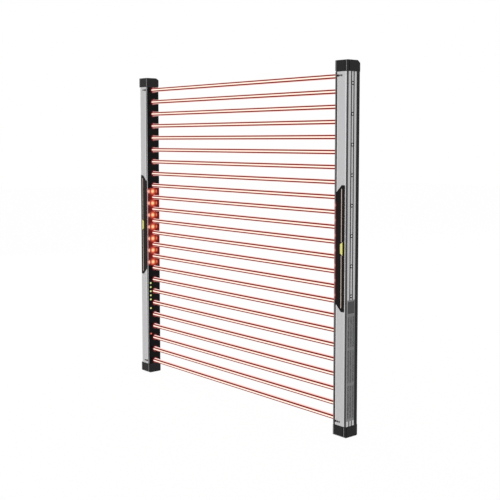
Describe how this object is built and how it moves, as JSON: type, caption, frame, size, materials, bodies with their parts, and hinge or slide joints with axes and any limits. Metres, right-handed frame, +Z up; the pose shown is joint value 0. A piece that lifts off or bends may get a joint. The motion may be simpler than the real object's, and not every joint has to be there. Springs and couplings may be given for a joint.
{
  "type": "safety light curtain",
  "caption": "Pair of slim upright bars, emitter and receiver, that face each other and guard the gap between them with a field of light beams.",
  "frame": {"origin": "middle of the pair's footprint, at the underside of both feet", "axes": "+Z up along the bars; +X from the emitter to the receiver; the name plates face -Y"},
  "size_m": [0.4841, 0.0248, 0.5],
  "materials": {
    "silver_case": "clear anodised extrusion, satin",
    "smoked_window": "smoked resin, polished",
    "black_cap": "moulded, fine grain",
    "seal_rubber": "matt",
    "clear_lens": "clear moulded lens",
    "optics_black": "matt black",
    "red_indicator": "light guide, lit red",
    "status_lamp": "light guide, lit",
    "board_green": "solder mask",
    "chip_clear": "optical package",
    "chip_dark": "moulded package",
    "brass_insert": "machined",
    "screw_steel": "plain steel",
    "socket_metal": "nickel plated",
    "contact_gold": "gold plated",
    "plate_black": "satin black plate",
    "plate_tan": "printed foil",
    "plate_yellow": "printed foil",
    "label_grey": "plain label",
    "mark_ink": "printed mark",
    "beam_light": "light, drawn as a thin glowing rod"
  },
  "bodies": {
    "root": {"emitter_beam_board": "board_green", "emitter_board_parts": "chip_dark", "emitter_bottom_cap": "black_cap", "emitter_bottom_gasket": "seal_rubber", "emitter_bottom_insert": "brass_insert", "emitter_bottom_screw": "screw_steel", "emitter_control_board": "board_green", "emitter_lens_strip": "clear_lens", "emitter_light_sources": "chip_clear", "emitter_operation_indicators": "red_indicator", "emitter_optics_holder": "optics_black", "emitter_outer_case": "silver_case", "emitter_plate_line": "plate_tan", "emitter_plate_tab": "plate_yellow", "emitter_side_plate": "plate_black", "emitter_socket_contacts": "contact_gold", "emitter_socket_shell": "socket_metal", "emitter_status_lamps": "status_lamp", "emitter_top_cap": "black_cap", "emitter_top_gasket": "seal_rubber", "emitter_top_insert": "brass_insert", "emitter_top_screw": "screw_steel", "emitter_window_tube": "smoked_window", "receiver_beam_board": "board_green", "receiver_board_parts": "chip_dark", "receiver_bottom_cap": "black_cap", "receiver_bottom_gasket": "seal_rubber", "receiver_bottom_insert": "brass_insert", "receiver_bottom_screw": "screw_steel", "receiver_control_board": "board_green", "receiver_lens_strip": "clear_lens", "receiver_light_detectors": "chip_clear", "receiver_operation_indicators": "red_indicator", "receiver_optics_holder": "optics_black", "receiver_outer_case": "silver_case", "receiver_plate_line": "plate_tan", "receiver_plate_tab": "plate_yellow", "receiver_rear_label": "label_grey", "receiver_side_plate": "plate_black", "receiver_socket_contacts": "contact_gold", "receiver_socket_shell": "socket_metal", "receiver_status_lamps": "status_lamp", "receiver_top_cap": "black_cap", "receiver_top_gasket": "seal_rubber", "receiver_top_insert": "brass_insert", "receiver_top_screw": "screw_steel", "receiver_window_tube": "smoked_window"}
  },
  "joints": []
}
